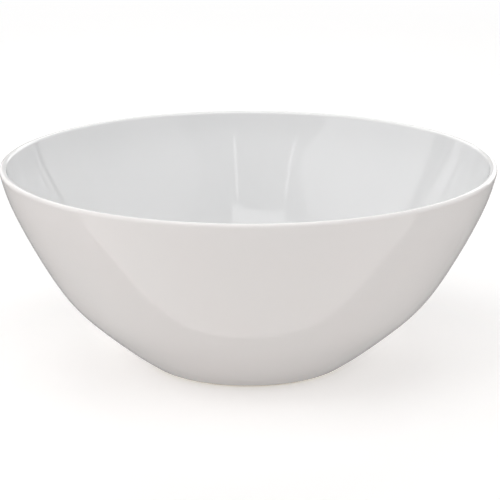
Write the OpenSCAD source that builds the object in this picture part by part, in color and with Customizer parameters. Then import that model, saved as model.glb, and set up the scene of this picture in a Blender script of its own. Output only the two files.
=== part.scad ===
// Round porcelain serving bowl: a fired body with a glaze on its inside, its outside and its base.
// Origin at the centre of the plane that the foot ring stands on, +Z up the bowl's axis.

/* [Bowl] */
// Diameter over the rim
rim_d = 250; // [220:1:280]
// Height from the standing plane to the crest of the rim
height = 103; // [90:1:115]
// Lean of the wall at the rim, in degrees outward from upright
rim_lean = 14; // [8:1:18]
// Length of the nearly straight stretch below the rim
rim_straight = 12; // [9:0.5:15]

/* [Wall] */
// Thickness of the glazed wall at the rim, which its round lip takes up
rim_t = 3.5; // [3:0.1:4.2]
// Thickness of the glazed wall just above the foot
foot_wall_t = 5.4; // [4.6:0.1:6.4]
// Height of the inside floor at its centre
floor_h = 8.5; // [7.5:0.1:10]
// Radius of the nearly flat middle of the inside floor
floor_flat_r = 24; // [18:1:26]

/* [Foot] */
// Diameter of the foot ring where the flank would meet the standing plane
foot_d = 100; // [92:1:108]
// Width of the foot ring at the standing plane
foot_w = 6; // [5:0.1:7]
// Rounding of the foot ring's outer edge
foot_outer_round = 2.5; // [1.5:0.1:3]
// Rounding of the foot ring's inner edge
foot_inner_round = 0.8; // [0.4:0.1:1]
// Depth of the recess inside the foot ring
recess_h = 3.5; // [3.3:0.1:4]
// Rounding between the foot ring's inner wall and the recess
recess_round = 2; // [1.5:0.1:2]
// Slope of the foot ring's inner wall, in degrees above level
recess_slope = 70; // [60:1:80]

/* [Glaze] */
// Thickness of the fired glaze
glaze_t = 0.3; // [0.2:0.05:0.4]
// Height up to which the glaze is wiped off the foot ring
wipe_h = 1.2; // [1.1:0.1:1.4]

/* [Colours] */
// Glazed porcelain
glaze_colour = "#F4F2EF";
// Bare fired porcelain, on the foot ring's standing edge
biscuit_colour = "#E9E4DA";

/* [Hidden] */
$fn = 180;

rim_r = rim_d / 2;
foot_r = foot_d / 2;
lip_r = rim_t / 2;
// Lines in each curve, from its start to its end
flank_steps = 40;
hollow_steps = 44;
// Degrees of arc for each line of a rounding
arc_step = 11;

// The flank between the foot and the rim: each point's share of the way out from foot to rim,
// and its share of the height. The curve is drawn towards these points and doesn't pass through them.
flank_shares = [[0.16, 0.08], [0.35, 0.195], [0.56, 0.33], [0.72, 0.515], [0.86, 0.705]];

// Points on a circle about c in the profile plane, from angle a0 to a1
function arc(c, r, a0, a1) =
    let (n = max(2, ceil(abs(a1 - a0) / arc_step)))
    [for (i = [0:n]) let (a = a0 + (a1 - a0) * i / n) c + r * [cos(a), sin(a)]];

// A smooth curve (uniform cubic B-spline) that starts at the first point of p, ends at the last
// and leaves both along the line to the next point
function beyond(p, i) =
    let (n = len(p) - 1)
    i < 0 ? 2 * p[0] - p[1] : i > n ? 2 * p[n] - p[n - 1] : p[i];
function curve_point(p, u) =
    let (k = min(floor(u), len(p) - 2), t = u - k)
    ((1 - t) ^ 3 * beyond(p, k - 1) + (3 * t ^ 3 - 6 * t ^ 2 + 4) * p[k]
        + (-3 * t ^ 3 + 3 * t ^ 2 + 3 * t + 1) * p[k + 1] + t ^ 3 * beyond(p, k + 2)) / 6;
function curve_dir(p, u) =
    let (k = min(floor(u), len(p) - 2), t = u - k)
    unit(-(1 - t) ^ 2 * beyond(p, k - 1) + (3 * t ^ 2 - 4 * t) * p[k]
        + (-3 * t ^ 2 + 2 * t + 1) * p[k + 1] + t ^ 2 * beyond(p, k + 2));
// The curve from parameter u0 to its end, moved sideways by side, to the left of its direction
function curve(p, u0, steps, side) =
    [for (i = [0:steps])
        let (u = u0 + (len(p) - 1 - u0) * i / steps)
        curve_point(p, u) + side * left(curve_dir(p, u))];

function unit(v) = v / norm(v);
function left(v) = [-v[1], v[0]];
function backwards(list) = [for (i = [len(list) - 1:-1:0]) list[i]];
// The points of list p between its first and its last two, moved to their left by t_first to t_last
function shifted(p, t_first, t_last) =
    let (n = len(p) - 2)
    [for (i = [1:n - 1])
        p[i] + (t_first + (t_last - t_first) * i / n) * left(unit(p[i + 1] - p[i - 1]))];

// The lip is a half circle across the wall, square to the wall's lean
lip_c = [rim_r - lip_r, height - lip_r];
wall_up = [sin(rim_lean), cos(rim_lean)];
lip_outer_end = lip_c - lip_r * left(wall_up);
lip_inner_end = lip_c + lip_r * left(wall_up);

// Glazed outside, from the standing plane to the lip
flank = concat(
    [[foot_r, 0]],
    [for (s = flank_shares) [foot_r + s[0] * (rim_r - foot_r), s[1] * height]],
    [lip_outer_end - rim_straight * wall_up, lip_outer_end]);
// Glazed inside, from the centre of the floor to the lip
floor_edge = [2 * floor_flat_r, floor_h + 0.4];
hollow = concat(
    [[0, floor_h], [floor_flat_r, floor_h], floor_edge],
    shifted(flank, foot_wall_t, rim_t),
    [lip_inner_end - rim_straight * wall_up, lip_inner_end]);

// Where the wiped line crosses the flank
wipe_u = wipe_h / (flank[1][1] - flank[0][1]);

function outer_side(depth) =
    concat(curve(flank, wipe_u, flank_steps, depth), outer_lip(depth));
function outer_lip(depth) =
    arc(lip_c, lip_r - depth, -rim_lean, 90);
function inner_side(depth) =
    concat(curve(hollow, 0, hollow_steps, -depth), inner_lip(depth));
function inner_lip(depth) =
    arc(lip_c, lip_r - depth, 180 - rim_lean, 90);

// The recess, from the wiped line inside the foot ring to the axis
recess_c = [foot_r - foot_w - recess_round, recess_h - recess_round];
recess_wall_dir = [-cos(recess_slope), sin(recess_slope)];
function recess_wall_point(depth, z) =
    let (p = recess_c + (recess_round + depth) * [sin(recess_slope), cos(recess_slope)])
    p + (z - p[1]) / recess_wall_dir[1] * recess_wall_dir;
function recess_side(depth) =
    concat(
        [recess_wall_point(depth, wipe_h)],
        arc(recess_c, recess_round + depth, 90 - recess_slope, 90),
        [[0, recess_h + depth]]);

// The bare edge of the foot ring, from the recess's wiped line round to the flank's
flank_foot = curve(flank, wipe_u, 1, glaze_t)[0];
flank_foot_dir = curve_dir(flank, wipe_u);
flank_foot_slope = atan2(flank_foot_dir[1], flank_foot_dir[0]);
foot_corner_r = flank_foot[0] - flank_foot[1] * flank_foot_dir[0] / flank_foot_dir[1];
foot_outer_c = [foot_corner_r - foot_outer_round * tan(flank_foot_slope / 2), foot_outer_round];
foot_inner_c = [
    recess_wall_point(glaze_t, 0)[0] + foot_inner_round * tan(recess_slope / 2), foot_inner_round];
bare_foot = concat(
    arc(foot_inner_c, foot_inner_round, -90 - recess_slope, -90),
    arc(foot_outer_c, foot_outer_round, -90, -90 + flank_foot_slope));

// A skin between a surface and the clay glaze_t below it
function skin(surface, clay) = concat(surface, backwards(clay));

module turned(profile) {
    rotate_extrude() polygon(profile);
}

// Fired clay wall, floor and foot ring, in one piece
module porcelain_body() {
    color(biscuit_colour) turned(concat(
        bare_foot,
        outer_side(glaze_t),
        backwards(inner_side(glaze_t)),
        backwards(recess_side(glaze_t))));
}

// Glaze of the inside, up to the crest of the rim
module inner_glaze() {
    color(glaze_colour) turned(skin(inner_side(0), inner_side(glaze_t)));
}

// Glaze of the outside, from the crest of the rim to the wiped line at the foot
module outer_glaze() {
    color(glaze_colour) turned(skin(outer_side(0), outer_side(glaze_t)));
}

// Glaze of the recess inside the foot ring
module base_glaze() {
    color(glaze_colour) turned(skin(recess_side(0), recess_side(glaze_t)));
}

porcelain_body();
inner_glaze();
outer_glaze();
base_glaze();
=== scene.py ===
import math

import bmesh
import bpy
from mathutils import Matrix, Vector, kdtree, noise


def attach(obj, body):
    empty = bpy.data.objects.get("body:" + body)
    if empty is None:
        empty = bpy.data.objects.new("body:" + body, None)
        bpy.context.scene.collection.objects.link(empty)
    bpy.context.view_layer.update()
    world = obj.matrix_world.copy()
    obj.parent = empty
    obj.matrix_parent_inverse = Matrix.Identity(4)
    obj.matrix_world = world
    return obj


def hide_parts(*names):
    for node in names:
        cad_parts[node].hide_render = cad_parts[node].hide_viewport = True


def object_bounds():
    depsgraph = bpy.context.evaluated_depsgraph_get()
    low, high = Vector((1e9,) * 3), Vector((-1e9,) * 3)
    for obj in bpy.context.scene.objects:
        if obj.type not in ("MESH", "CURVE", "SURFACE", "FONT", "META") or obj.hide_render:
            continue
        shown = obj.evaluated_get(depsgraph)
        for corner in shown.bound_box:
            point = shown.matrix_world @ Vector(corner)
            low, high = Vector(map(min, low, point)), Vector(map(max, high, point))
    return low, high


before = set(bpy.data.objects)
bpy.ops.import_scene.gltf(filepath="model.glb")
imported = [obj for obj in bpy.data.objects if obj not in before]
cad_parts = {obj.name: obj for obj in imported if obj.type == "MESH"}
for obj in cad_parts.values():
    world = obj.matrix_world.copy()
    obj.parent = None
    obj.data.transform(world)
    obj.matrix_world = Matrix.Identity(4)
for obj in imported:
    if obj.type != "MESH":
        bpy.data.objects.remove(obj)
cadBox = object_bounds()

mm = 0.001
bowlTop = cadBox[1].z
bowlCentre = Vector((0, 0, bowlTop / 2))
print("frame loaded:", ", ".join(sorted(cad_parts)))

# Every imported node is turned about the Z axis, so each ring of its mesh is one corner of an outline.
# A point of an outline is (distance from the axis, height, 0).
outlineLook = {
    "sameCorner": 0.02 * mm,    # vertices closer than this are on one ring
    "longestLine": 1.4 * mm,    # of the smooth outline, where it bends
    "longestFlat": 5.2 * mm,    # and where it's straight
    "widestTurn": 2.5,          # degrees between two lines
    "flatTurn": 0.05,           # degrees: a line that bends less is straight
    "sharpTurn": 35,            # degrees: a corner that stays a corner
    "straightShare": 1.8,       # a line this much longer than its neighbour is straight
}


# The corners of a node's outline in order, anticlockwise, and whether they close a loop.
def readOutline(nodeName):
    corners, cornerOf = ringCorners(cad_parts[nodeName].data)
    joined = {index: set() for index in range(len(corners))}
    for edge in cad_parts[nodeName].data.edges:
        a, b = (cornerOf[v] for v in edge.vertices)
        if a != b:
            joined[a].add(b)
            joined[b].add(a)
    ends = [i for i in joined if len(joined[i]) == 1]
    walk = [min(ends or joined, key=lambda i: corners[i].y)]
    while len(walk) <= len(corners):
        onward = [i for i in joined[walk[-1]] if i not in walk[-2:] and i != walk[0]]
        if not onward:
            break
        walk.append(onward[0])
    outline = [corners[i] for i in walk]
    # a disc across the axis has no vertex on it
    if ends and outline[0].x > outlineLook["sameCorner"]:
        outline.insert(0, Vector((0, outline[0].y, 0)))
    if ends and outline[-1].x > outlineLook["sameCorner"]:
        outline.append(Vector((0, outline[-1].y, 0)))
    area = sum(a.x * b.y - b.x * a.y for a, b in zip(outline, outline[1:] + outline[:1]))
    if area < 0:
        outline.reverse()
    return outline, not ends


def ringCorners(mesh):
    flat = [Vector((math.hypot(v.co.x, v.co.y), v.co.z, 0)) for v in mesh.vertices]
    tree = kdtree.KDTree(len(flat))
    for index, point in enumerate(flat):
        tree.insert(point, index)
    tree.balance()
    corners, cornerOf = [], {}
    for index, point in enumerate(flat):
        if index not in cornerOf:
            for _, other, _ in tree.find_range(point, outlineLook["sameCorner"]):
                cornerOf[other] = len(corners)
            corners.append(point)
    return corners, cornerOf


def turnAt(before, point, after):
    return math.degrees((point - before).angle(after - point))


# Splits the outline at its sharp corners, and lays a smooth curve through each part.
def smoothOutline(outline, isLoop):
    count = len(outline)
    sharp = [i for i in range(count)
             if (isLoop or 0 < i < count - 1)
             and turnAt(outline[i - 1], outline[i], outline[(i + 1) % count]) > outlineLook["sharpTurn"]]
    if isLoop:
        start = sharp[0]
        outline = outline[start:] + outline[:start] + [outline[start]]
        sharp = [i - start for i in sharp] + [count]
        parts = zip(sharp, sharp[1:])
    else:
        stops = [0] + sharp + [count - 1]
        parts = zip(stops, stops[1:])
    smooth = []
    for first, last in parts:
        smooth += smoothPart(outline[first:last + 1])[:-1]
    return smooth if isLoop else smooth + [outline[-1]]


def smoothPart(points):
    lines = [b - a for a, b in zip(points, points[1:])]
    smooth = []
    for point, line, start, end in zip(points, lines, *lineTangents(lines)):
        bend = math.degrees(start.angle(end))
        steps = math.ceil(max(line.length / outlineLook["longestLine"], bend / outlineLook["widestTurn"]))
        if bend < outlineLook["flatTurn"]:
            steps = math.ceil(line.length / outlineLook["longestFlat"])
        for t in (step / steps for step in range(steps)):
            smooth.append(point + line * (3 * t**2 - 2 * t**3)
                          + start * line.length * (t**3 - 2 * t**2 + t)
                          + end * line.length * (t**3 - t**2))
    return smooth + [points[-1]]


# The way that the curve runs at each line's start, and at each line's end.
def lineTangents(lines):
    ways = [line.normalized() for line in lines]
    if len(lines) == 1:
        return ways, ways
    share = outlineLook["straightShare"]
    tangents = []
    for before, after, wayIn, wayOut in zip(lines, lines[1:], ways, ways[1:]):
        if after.length > share * before.length:
            tangents.append(wayOut)
        elif before.length > share * after.length:
            tangents.append(wayIn)
        else:
            tangents.append((wayIn * after.length + wayOut * before.length).normalized())
    # an end carries on the bend of the line beside it
    first, last = mirrored(tangents[0], ways[0]), mirrored(tangents[-1], ways[-1])
    return [first] + tangents, tangents + [last]


def mirrored(way, line):
    return (2 * way.dot(line) * line - way).normalized()


# Rounds the corner of an outline nearest to a point, from reach before it to reach after it.
def roundCorner(outline, corner, reach, steps=6):
    at = min(range(len(outline)), key=lambda i: (outline[i] - corner).length)
    corner = outline[at]
    (a, firstKept), (b, lastKept) = (stepAlong(outline, at, way, reach) for way in (-1, 1))
    bead = [a * (1 - t)**2 + corner * 2 * t * (1 - t) + b * t**2
            for t in (step / steps for step in range(steps + 1))]
    if lastKept <= firstKept:
        return outline[lastKept:firstKept + 1] + bead
    return outline[:firstKept + 1] + bead + outline[lastKept:]


# The place a distance along an outline from a corner, and the next corner past it.
def stepAlong(outline, at, way, left):
    here = outline[at]
    while True:
        at = (at + way) % len(outline)
        gap = (outline[at] - here).length
        if gap >= left:
            return here.lerp(outline[at], left / gap), at
        left -= gap
        here = outline[at]


# The potter's wheel: how finely an outline is turned.
latheLook = {
    "spokes": 256,              # round the rim
    "halvedUnder": [45 * mm, 20 * mm, 9 * mm, 4 * mm],  # each radius has half the spokes inside it
}


def spokesAt(radius):
    return latheLook["spokes"] >> sum(radius < limit for limit in latheLook["halvedUnder"])


def anglesRound(count):
    return [2 * math.pi * spoke / count for spoke in range(count)]


# Turns an outline into a closed mesh; shift may move a point at an angle round the axis.
def turn(name, outline, isLoop, shift=None):
    bm = bmesh.new()
    rings = []
    for point in outline:
        if point.x < outlineLook["sameCorner"]:
            rings.append([bm.verts.new((0, 0, point.y))])
            continue
        ring = []
        for angle in anglesRound(spokesAt(point.x)):
            radius, height = shift(point, angle) if shift else (point.x, point.y)
            ring.append(bm.verts.new((radius * math.cos(angle), radius * math.sin(angle), height)))
        rings.append(ring)
    for a, b in zip(rings, rings[1:] + rings[:1] if isLoop else rings[1:]):
        joinRings(bm, a, b)
    bmesh.ops.recalc_face_normals(bm, faces=bm.faces)
    for face in bm.faces:
        face.smooth = True
    for edge in bm.edges:
        edge.smooth = edge.calc_face_angle(0) < math.radians(outlineLook["sharpTurn"])
    piece = linkMesh(name, bm)
    print(f"turned {name}: {len(piece.data.polygons)} faces")
    return piece


def joinRings(bm, a, b):
    if len(a) < len(b):
        a, b = b, a
    if len(b) == 1:
        for k in range(len(a)):
            bm.faces.new((a[k], a[(k + 1) % len(a)], b[0]))
        return
    for i in range(len(b)):
        j = (i + 1) % len(b)
        if len(a) == len(b):
            bm.faces.new((a[i], a[j], b[j], b[i]))
            continue
        low, middle, high = a[2 * i], a[2 * i + 1], a[(2 * i + 2) % len(a)]
        bm.faces.new((low, middle, b[i]))
        bm.faces.new((middle, b[j], b[i]))
        bm.faces.new((middle, high, b[j]))


def linkMesh(name, bm):
    mesh = bpy.data.meshes.new(name)
    bm.to_mesh(mesh)
    bm.free()
    thing = bpy.data.objects.new(name, mesh)
    bpy.context.scene.collection.objects.link(thing)
    return thing


def srgb(hexColour):
    parts = [int(hexColour[i:i + 2], 16) / 255 for i in (1, 3, 5)]
    return [p / 12.92 if p <= 0.04045 else ((p + 0.055) / 1.055)**2.4 for p in parts] + [1]


# One node with its settings and links. A key is a socket's name or number, or a property of the node.
def addNode(tree, kind, settings={}, links={}):
    node = tree.nodes.new("ShaderNode" + kind)
    sockets = [key for key in settings if isinstance(key, int) or key in node.inputs]
    for key in settings:
        if key not in sockets:
            setattr(node, key, settings[key])
    for key in sockets:
        node.inputs[key].default_value = settings[key]
    for key, source in links.items():
        tree.links.new(source, node.inputs[key])
    return node


def newMaterial(name):
    material = bpy.data.materials.new(name)
    material.use_nodes = True
    tree = material.node_tree
    tree.nodes.clear()
    return material, tree


mixA, mixB, mixOut = 6, 7, 2    # the colour sockets of a Mix node

# Feldspar glaze on hard porcelain, poured or dipped and fired glossy at 1400 degrees.
# The eye sees a deep even white under a clear hard gloss, a little cooler where it pools,
# with a skin that is never quite flat. Where the glaze runs thin on an edge it is a little warmer,
# and on the rim that band is also painted lighter, a painted highlight along the lip.
glazeLook = {
    "ior": 1.52,
    "mottleSize": 38 * mm,      # clouds of slightly thicker and thinner glaze
    "mottleFrom": 0.35,         # noise values between which a cloud gathers
    "mottleTo": 0.75,
    "mottleShare": 0.5,
    "smearSize": 26 * mm,       # handling marks that dull the gloss a little
    "smearFrom": 0.35,
    "smearTo": 0.7,
    "roughLow": 0.04,
    "roughHigh": 0.085,
    "waveSize": 60 * mm,        # unevenness left by the forming tool under the glaze
    "waveHeight": 0.045 * mm,
    "peelSize": 2.4 * mm,       # orange peel from the glaze melting
    "peelHeight": 0.0013 * mm,
    "fleck": "#B9AFA2",         # iron flecks in the clay, in a few of the places for one
    "fleckSpacing": 15 * mm,
    "fleckRadius": 0.28 * mm,
    "fleckShare": 0.08,
}


def feldsparGlaze(name, piece):
    look = glazeLook
    material, tree = newMaterial(name)
    place = addNode(tree, "TexCoord").outputs["Object"]
    height = addNode(tree, "SeparateXYZ", links={0: place}).outputs["Z"]
    mottle = addNode(tree, "TexNoise", {"Scale": 1 / look["mottleSize"], "Detail": 3}, {"Vector": place})
    # The band where the glaze runs thin; on the rim it also carries a painted highlight, a lighter colour.
    thinAndHighlightBand = addNode(tree, "MapRange", {
        "interpolation_type": "SMOOTHSTEP", "From Min": piece["edgeBandFrom"], "From Max": piece["edgeBandTo"]},
        {"Value": height})
    pool = addNode(tree, "MapRange", {
        "interpolation_type": "SMOOTHSTEP", "From Min": piece["poolFrom"], "From Max": piece["poolTo"]},
        {"Value": height})
    clouds = addNode(tree, "MapRange", {
        "From Min": look["mottleFrom"], "From Max": look["mottleTo"], "To Max": look["mottleShare"]},
        {"Value": mottle.outputs[0]})
    pooledShare = addNode(tree, "Math", {"operation": "MAXIMUM"},
                          {0: pool.outputs[0], 1: clouds.outputs[0]})
    deep = addNode(tree, "Mix", {"data_type": "RGBA", mixA: srgb(piece["white"]),
                                 mixB: srgb(piece["pooled"])}, {0: pooledShare.outputs[0]})
    # Mixes in the thin-edge colour, which on the rim is painted lighter as a highlight.
    edgedAndHighlighted = addNode(tree, "Mix", {"data_type": "RGBA", mixB: srgb(piece["thinEdgeAndRimHighlight"])},
                    {0: thinAndHighlightBand.outputs[0], mixA: deep.outputs[mixOut]})
    cells = addNode(tree, "TexVoronoi", {"Scale": 1 / look["fleckSpacing"]}, {"Vector": place})
    cellValue = addNode(tree, "SeparateColor", links={0: cells.outputs["Color"]}).outputs[0]
    chosen = addNode(tree, "Math", {"operation": "LESS_THAN", 1: look["fleckShare"]}, {0: cellValue})
    spot = addNode(tree, "MapRange", {
        "interpolation_type": "SMOOTHSTEP", "From Max": look["fleckRadius"] / look["fleckSpacing"],
        "To Min": 1.0, "To Max": 0.0}, {"Value": cells.outputs["Distance"]})
    fleck = addNode(tree, "Math", {"operation": "MULTIPLY"}, {0: chosen.outputs[0], 1: spot.outputs[0]})
    colour = addNode(tree, "Mix", {"data_type": "RGBA", mixB: srgb(look["fleck"])},
                     {0: fleck.outputs[0], mixA: edgedAndHighlighted.outputs[mixOut]})
    smear = addNode(tree, "TexNoise", {"Scale": 1 / look["smearSize"], "Detail": 5, "Roughness": 0.6,
                                       "Distortion": 0.8}, {"Vector": place})
    gloss = addNode(tree, "MapRange", {
        "From Min": look["smearFrom"], "From Max": look["smearTo"],
        "To Min": look["roughLow"], "To Max": look["roughHigh"]}, {"Value": smear.outputs[0]})
    wave = addNode(tree, "TexNoise", {"Scale": 1 / look["waveSize"], "Detail": 1}, {"Vector": place})
    peel = addNode(tree, "TexNoise", {"Scale": 1 / look["peelSize"], "Detail": 2}, {"Vector": place})
    waveBump = addNode(tree, "Bump", {"Strength": 1.0, "Distance": look["waveHeight"]},
                       {"Height": wave.outputs[0]})
    peelBump = addNode(tree, "Bump", {"Strength": 1.0, "Distance": look["peelHeight"]},
                       {"Height": peel.outputs[0], "Normal": waveBump.outputs[0]})
    surface = addNode(tree, "BsdfPrincipled", {"IOR": look["ior"]},
                      {"Base Color": colour.outputs[mixOut], "Roughness": gloss.outputs[0],
                       "Normal": peelBump.outputs[0]})
    addNode(tree, "OutputMaterial", links={"Surface": surface.outputs[0]})
    return material


# The fired body: only its standing edge shows, wiped before firing and ground on a wheel afterwards.
firedBody = {
    "ior": 1.5,
    "clay": "#E6E0D4",
    "grit": "#CFC6B6",
    "gritSize": 0.7 * mm,
    "gritFrom": 0.45,           # noise values between which grit shows
    "gritTo": 0.7,
    "gritShare": 0.7,
    "gritHeight": 0.03 * mm,
    "dirt": "#A99C8A",          # worn in from tables
    "dirtSize": 7 * mm,
    "dirtFrom": 0.42,
    "dirtTo": 0.68,
    "dirtShare": 0.5,
    "dirtTop": 0.5 * mm,        # height that most of it stays under
    "dirtAbove": 0.12,          # share of it that is higher
    "ringSpacing": 0.35 * mm,   # marks of the grinding wheel
    "ringHeight": 0.012 * mm,
    "roughLow": 0.72,
    "roughHigh": 0.9,
}


# Bare fired porcelain, ground flat so that the bowl doesn't rock.
# The eye sees a dry off-white with fine grit, faint rings from the grinding and a little dirt.
def groundBiscuit(look):
    material, tree = newMaterial("groundBiscuitPorcelain")
    place = addNode(tree, "TexCoord").outputs["Object"]
    axes = addNode(tree, "SeparateXYZ", links={0: place})
    grit = addNode(tree, "TexNoise", {"Scale": 1 / look["gritSize"], "Detail": 4, "Roughness": 0.7},
                   {"Vector": place})
    gritty = addNode(tree, "MapRange", {
        "From Min": look["gritFrom"], "From Max": look["gritTo"], "To Max": look["gritShare"]},
        {"Value": grit.outputs[0]})
    clay = addNode(tree, "Mix", {"data_type": "RGBA", mixA: srgb(look["clay"]),
                                 mixB: srgb(look["grit"])}, {0: gritty.outputs[0]})
    patch = addNode(tree, "TexNoise", {"Scale": 1 / look["dirtSize"], "Detail": 6, "Roughness": 0.65},
                    {"Vector": place})
    patchy = addNode(tree, "MapRange", {
        "From Min": look["dirtFrom"], "From Max": look["dirtTo"], "To Max": look["dirtShare"]},
        {"Value": patch.outputs[0]})
    low = addNode(tree, "MapRange", {
        "From Max": look["dirtTop"], "To Min": 1.0, "To Max": look["dirtAbove"]},
        {"Value": axes.outputs["Z"]})
    dirty = addNode(tree, "Math", {"operation": "MULTIPLY"}, {0: patchy.outputs[0], 1: low.outputs[0]})
    colour = addNode(tree, "Mix", {"data_type": "RGBA", mixB: srgb(look["dirt"])},
                     {0: dirty.outputs[0], mixA: clay.outputs[mixOut]})
    level = addNode(tree, "CombineXYZ", links={"X": axes.outputs["X"], "Y": axes.outputs["Y"]})
    outward = addNode(tree, "VectorMath", {"operation": "LENGTH"}, {0: level.outputs[0]})
    rings = addNode(tree, "TexNoise", {"noise_dimensions": "1D", "Scale": 1 / look["ringSpacing"],
                                       "Detail": 2}, {"W": outward.outputs["Value"]})
    ringBump = addNode(tree, "Bump", {"Strength": 1.0, "Distance": look["ringHeight"]},
                       {"Height": rings.outputs[0]})
    gritBump = addNode(tree, "Bump", {"Strength": 1.0, "Distance": look["gritHeight"]},
                       {"Height": grit.outputs[0], "Normal": ringBump.outputs[0]})
    rough = addNode(tree, "MapRange", {"To Min": look["roughLow"], "To Max": look["roughHigh"]},
                    {"Value": patch.outputs[0]})
    surface = addNode(tree, "BsdfPrincipled", {"IOR": look["ior"]},
                      {"Base Color": colour.outputs[mixOut], "Roughness": rough.outputs[0],
                       "Normal": gritBump.outputs[0]})
    addNode(tree, "OutputMaterial", links={"Surface": surface.outputs[0]})
    return material


outline, isLoop = readOutline("porcelain_body")
body = turn("fired_body", smoothOutline(outline, isLoop), isLoop)
body.data.materials.append(groundBiscuit(firedBody))
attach(body, "root")
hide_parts("porcelain_body")
print("fired body done")

# The inside's glaze, poured in and swilled round, so that it pools on the floor.
pouredInside = {
    "white": "#DEDEDE",
    # painted highlight: a lighter band along the rim, where the glaze also runs thin
    "thinEdgeAndRimHighlight": "#E4E3E2",
    "pooled": "#DBDCDC",
    "edgeBandFrom": bowlTop - 1.6 * mm,     # heights between which it drains thin, the band that is painted lighter as a highlight
    "edgeBandTo": bowlTop,
    "poolFrom": 40 * mm,                # heights between which it thickens
    "poolTo": 9 * mm,
}

outline, isLoop = readOutline("inner_glaze")
inner = turn("poured_inner_glaze", smoothOutline(outline, isLoop), isLoop)
inner.data.materials.append(feldsparGlaze("pouredFeldsparGlaze", pouredInside))
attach(inner, "root")
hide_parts("inner_glaze")
print("inside glaze done")


# The corner that wiping leaves on a glaze outline, on its open side.
def wipedCorner(outline):
    return min(outline, key=lambda p: (round(p.y / mm, 1), p.x))


# Rounds the wiped corner, as melted glaze draws itself round, and turns the outline with the glaze
# there strayed a little up and down along the clay, because a sponge never wipes quite level.
def turnWiped(name, nodeName, piece):
    outline, isLoop = readOutline(nodeName)
    corner = wipedCorner(outline)
    above = [p for p in outline if p.y > corner.y + piece["strayTop"] / 2]
    way = (min(above, key=lambda p: (p - corner).length) - corner).normalized()
    turnsRound = corner.x / piece["straySize"]

    def shift(point, angle):
        near = 1 - (point.y - corner.y) / piece["strayTop"]
        if near <= 0:
            return point.x, point.y
        spot = Vector((turnsRound * math.cos(angle), turnsRound * math.sin(angle), corner.x / mm))
        move = way * noise.noise(spot) * piece["stray"] * near**2 * (3 - 2 * near)
        return point.x + move.x, point.y + move.y

    rounded = roundCorner(smoothOutline(outline, isLoop), corner, piece["edgeRound"])
    return turn(name, rounded, isLoop, shift)


# The outside's glaze, dipped and drained rim down. Its white is painted warmer and a little darker than
# the inside's, a painted warm reflection of the table below.
dippedOutsidePaintedWarm = {
    # painted warm light: the same glaze as inside, tinted warmer and a little darker
    "white": "#DBD7D5",
    # painted highlight: a lighter band along the rim, where the glaze also runs thin
    "thinEdgeAndRimHighlight": "#E5E2E0",
    "pooled": "#DAD8D6",
    "edgeBandFrom": bowlTop - 1.6 * mm,
    "edgeBandTo": bowlTop,
    "poolFrom": 3 * mm,                 # a slight roll above the wiped edge
    "poolTo": 1 * mm,
    "edgeRound": 0.2 * mm,
    "stray": 0.28 * mm,                 # how far the wiped edge strays
    "straySize": 11 * mm,
    "strayTop": 2.4 * mm,               # height over the edge that wiping disturbed
}
outer = turnWiped("dipped_outer_glaze", "outer_glaze", dippedOutsidePaintedWarm)
outer.data.materials.append(feldsparGlaze("dippedFeldsparGlaze", dippedOutsidePaintedWarm))
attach(outer, "root")
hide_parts("outer_glaze")
print("outside glaze done")

# The base's glaze, inside the foot ring, which pools a little in the recess. Its white carries the
# outside's painted warm tint.
dippedBasePaintedWarm = {
    # painted warm light, the same tint as the outside's
    "white": "#DBD7D5",
    "thinEdgeAndRimHighlight": "#DFD8CE",
    "pooled": "#D9D7D5",
    "edgeBandFrom": 2 * mm,
    "edgeBandTo": 1 * mm,
    "poolFrom": 3 * mm,
    "poolTo": 3.5 * mm,
    "edgeRound": 0.2 * mm,
    "stray": 0.12 * mm,
    "straySize": 11 * mm,
    "strayTop": 0.9 * mm,
}
base = turnWiped("dipped_base_glaze", "base_glaze", dippedBasePaintedWarm)
base.data.materials.append(feldsparGlaze("baseFeldsparGlaze", dippedBasePaintedWarm))
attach(base, "root")
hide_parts("base_glaze")
print("base glaze done")

# Seamless white paper, matt. The eye sees an even pale floor with no edge.
floorLook = {
    "radius": 9.0,
    "spokes": 96,
    "colour": "#FCFBFA",
    "rough": 0.95,
    "glow": 0.26,               # under the bowl, which softens its shadow
    "glowFrom": 0.17,           # distance from the bowl's axis at which the glow starts
    "glowTo": 0.04,             # and at which it's full
}
bm = bmesh.new()
bmesh.ops.create_circle(bm, cap_ends=True, radius=floorLook["radius"], segments=floorLook["spokes"])
floor = linkMesh("floor", bm)
floorPaper, tree = newMaterial("paleFloorPaper")
place = addNode(tree, "TexCoord").outputs["Object"]
outward = addNode(tree, "VectorMath", {"operation": "LENGTH"}, {0: place})
glow = addNode(tree, "MapRange", {
    "interpolation_type": "SMOOTHSTEP", "From Min": floorLook["glowFrom"],
    "From Max": floorLook["glowTo"], "To Max": floorLook["glow"]}, {"Value": outward.outputs["Value"]})
surface = addNode(tree, "BsdfPrincipled", {
    "Base Color": srgb(floorLook["colour"]), "Roughness": floorLook["rough"], "Specular IOR Level": 0.0,
    "Emission Color": srgb(floorLook["colour"])}, {"Emission Strength": glow.outputs[0]})
addNode(tree, "OutputMaterial", links={"Surface": surface.outputs[0]})
floor.data.materials.append(floorPaper)

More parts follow.
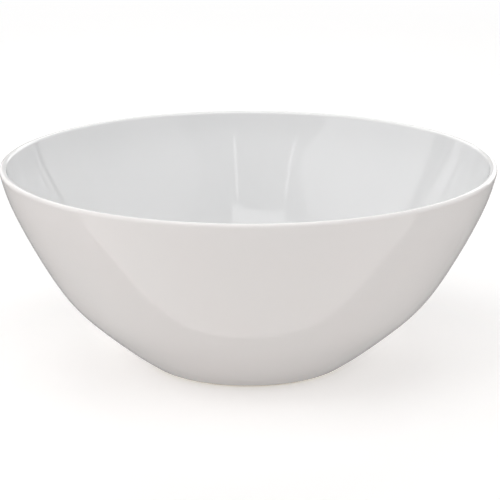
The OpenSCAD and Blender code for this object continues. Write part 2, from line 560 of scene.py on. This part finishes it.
# The paper sweeps up far from the bowl. Only the camera sees this part, so it throws no light back.
backdropLook = {
    "colour": "#FFFFFF",
    "flatFrom": 0.8,            # distances from the axis between which it lies flat
    "flatTo": 3.0,
    "sweep": 2.5,               # radius of the bend upward
    "steps": 24,
    "clearance": 1 * mm,        # above the floor
    "shownFrom": 0.9,           # it fades in over the floor between these distances
    "shownTo": 1.25,
    "shadeTop": 1.0,            # height at which it's darkest
    "bright": 1.0,
    "shaded": 0.78,             # its brightness there
}
corners = [(backdropLook["flatFrom"], backdropLook["clearance"])]
for step in range(backdropLook["steps"] + 1):
    bend = math.pi / 2 * step / backdropLook["steps"]
    corners.append((backdropLook["flatTo"] + backdropLook["sweep"] * math.sin(bend),
                    backdropLook["clearance"] + backdropLook["sweep"] * (1 - math.cos(bend))))
bm = bmesh.new()
rings = []
for radius, height in corners:
    ring = []
    for angle in anglesRound(floorLook["spokes"]):
        ring.append(bm.verts.new((radius * math.cos(angle), radius * math.sin(angle), height)))
    rings.append(ring)
for a, b in zip(rings, rings[1:]):
    joinRings(bm, a, b)
for face in bm.faces:
    face.smooth = True
backdrop = linkMesh("backdrop", bm)
backdropPaper, tree = newMaterial("backdropPaper")
place = addNode(tree, "TexCoord").outputs["Object"]
up = addNode(tree, "SeparateXYZ", links={0: place}).outputs["Z"]
outward = addNode(tree, "VectorMath", {"operation": "LENGTH"}, {0: place})
shade = addNode(tree, "MapRange", {
    "interpolation_type": "SMOOTHSTEP", "From Max": backdropLook["shadeTop"],
    "To Min": backdropLook["bright"], "To Max": backdropLook["shaded"]}, {"Value": up})
shown = addNode(tree, "MapRange", {
    "interpolation_type": "SMOOTHSTEP", "From Min": backdropLook["shownFrom"],
    "From Max": backdropLook["shownTo"]}, {"Value": outward.outputs["Value"]})
clear = addNode(tree, "BsdfTransparent")
paper = addNode(tree, "Emission", {"Color": srgb(backdropLook["colour"])}, {"Strength": shade.outputs[0]})
surface = addNode(tree, "MixShader", links={0: shown.outputs[0], 1: clear.outputs[0], 2: paper.outputs[0]})
addNode(tree, "OutputMaterial", links={"Surface": surface.outputs[0]})
backdrop.data.materials.append(backdropPaper)
backdrop.visible_diffuse = backdrop.visible_glossy = backdrop.visible_shadow = False
print("floor and backdrop done")

# The room's own soft light, by height above the horizon.
roomLook = {
    "colour": "#FCFCFD",
    "bright": 0.86,
    "levels": [(0, 0.6), (15, 0.62), (35, 1.0), (60, 0.24)],   # degrees up, share of the brightness
}
world = bpy.data.worlds.new("studio")
world.use_nodes = True
bpy.context.scene.world = world
tree = world.node_tree
way = addNode(tree, "TexCoord").outputs["Generated"]
up = addNode(tree, "SeparateXYZ", links={0: way}).outputs["Z"]
ramp = addNode(tree, "ValToRGB", links={0: up})
ramp.color_ramp.interpolation = "EASE"
while len(ramp.color_ramp.elements) < len(roomLook["levels"]):
    ramp.color_ramp.elements.new(1)
for stop, (degrees, level) in zip(ramp.color_ramp.elements, roomLook["levels"]):
    stop.position = math.sin(math.radians(degrees))
    stop.color = [level * part for part in srgb(roomLook["colour"])[:3]] + [1]
background = tree.nodes["Background"]
background.inputs["Strength"].default_value = roomLook["bright"]
tree.links.new(ramp.outputs[0], background.inputs["Color"])

# Lights and cards stand round the bowl and face it. A bearing is in degrees from the camera's side,
# to the right as the camera sees it, and bright is the surface's own, where 1 is white.
# The gloss inside the bowl shows the strips and the high fill as a tall window.
lights = {
    "leftBox": {"bearing": -75, "rise": 25, "away": 1.5, "size": (1.9, 1.45), "bright": 0.82},
    "rightBox": {"bearing": 69, "rise": 25, "away": 1.5, "size": (1.7, 1.45), "bright": 0.44},
    "topBox": {"bearing": 0, "rise": 79, "away": 1.6, "size": (1.4, 1.2), "bright": 2.15},
    "backBox": {"bearing": 180, "rise": 40, "away": 1.8, "size": (1.8, 1.0), "bright": 1.4},
    "stripRight": {"bearing": 8, "rise": 41, "away": 1.7, "size": (0.022, 0.46), "bright": 4.2},
    "stripLeft": {"bearing": -27.3, "rise": 41, "away": 1.7, "size": (0.022, 0.4), "bright": 3.4},
    "highFill": {"bearing": -9, "rise": 55.7, "away": 1.7, "size": (0.8, 0.24), "bright": 1.8},
}
# Cards give no light of their own: only the glaze's gloss shows them, as the room round the bowl.
cards = {
    "leftRear": {"bearing": -143, "rise": 14, "away": 2.0, "size": (1.45, 1.2), "bright": 1.3},
    "rightRear": {"bearing": 115, "rise": 14, "away": 2.0, "size": (1.2, 1.2), "bright": 1.02},
    "farRightRear": {"bearing": 152, "rise": 14, "away": 2.0, "size": (1.2, 1.2), "bright": 2.1},
    "rightStand": {"bearing": 128, "rise": 10, "away": 1.9, "size": (0.1, 1.0), "bright": 0.15},
    "rightPole": {"bearing": 134, "rise": 10, "away": 1.9, "size": (0.05, 1.0), "bright": 0.3},
    "leftStand": {"bearing": -115, "rise": 14, "away": 1.9, "size": (0.1, 1.0), "bright": 0.25},
    "leftPole": {"bearing": -133, "rise": 12, "away": 1.9, "size": (0.1, 1.0), "bright": 0.5},
    "stripShade": {"bearing": 6.6, "rise": 41, "away": 1.65, "size": (0.022, 0.46), "bright": 0.2},
}
# The table top that the gloss of the flank shows, darker than the floor in front of it.
table = {"front": -95 * mm, "back": 1.4, "halfWidth": 1.4, "height": 0.3 * mm, "bright": 0.33}


def standAt(thing, look):
    bearing = math.radians(look["bearing"])
    rise = math.radians(look["rise"])
    way = Vector((math.sin(bearing) * math.cos(rise), -math.cos(bearing) * math.cos(rise), math.sin(rise)))
    thing.location = bowlCentre + way * look["away"]
    thing.rotation_euler = (-way).to_track_quat("-Z", "Y").to_euler()


# A level card between two corners, which standAt can then turn to the bowl.
def addCard(name, near, far, height, bright):
    bm = bmesh.new()
    corners = [(near[0], near[1]), (far[0], near[1]), (far[0], far[1]), (near[0], far[1])]
    bm.faces.new([bm.verts.new((x, y, height)) for x, y in corners])
    card = linkMesh(name, bm)
    material, tree = newMaterial(name + "Board")
    surface = addNode(tree, "Emission", {"Color": srgb("#FFFFFF"), "Strength": bright})
    addNode(tree, "OutputMaterial", links={"Surface": surface.outputs[0]})
    card.data.materials.append(material)
    card.visible_camera = card.visible_diffuse = card.visible_shadow = False
    return card


for name, look in lights.items():
    light = bpy.data.lights.new(name, "AREA")
    light.shape = "RECTANGLE"
    light.size, light.size_y = look["size"]
    # a panel of radiance 1 gives off pi watts from each square metre
    light.energy = look["bright"] * math.pi * light.size * light.size_y
    lamp = bpy.data.objects.new(name, light)
    standAt(lamp, look)
    lamp.visible_camera = False
    bpy.context.scene.collection.objects.link(lamp)
for name, look in cards.items():
    reach = Vector(look["size"]) / 2
    standAt(addCard(name, -reach, reach, 0, look["bright"]), look)
addCard("tableTop", (-table["halfWidth"], table["front"]), (table["halfWidth"], table["back"]),
        table["height"], table["bright"])
print("lights done")

cameraLook = {
    "away": 1.1,                # from the bowl's centre
    "rise": 15.8,               # degrees above level
    "lens": 154.9,
    "sensor": 36,
    "aimRight": 0.92 * mm,      # of the bowl's centre, as the camera sees it
    "aimUp": 4.8 * mm,
}
camera = bpy.data.objects.new("camera", bpy.data.cameras.new("camera"))
camera.data.lens = cameraLook["lens"]
camera.data.sensor_width = cameraLook["sensor"]
rise = math.radians(cameraLook["rise"])
camera.location = bowlCentre + Vector((0, -math.cos(rise), math.sin(rise))) * cameraLook["away"]
aim = bowlCentre + Vector((cameraLook["aimRight"], math.sin(rise) * cameraLook["aimUp"],
                           math.cos(rise) * cameraLook["aimUp"]))
camera.rotation_euler = (aim - camera.location).to_track_quat("-Z", "Y").to_euler()
bpy.context.scene.collection.objects.link(camera)
bpy.context.scene.camera = camera
bpy.context.scene.view_settings.view_transform = "Standard"
print("camera done")
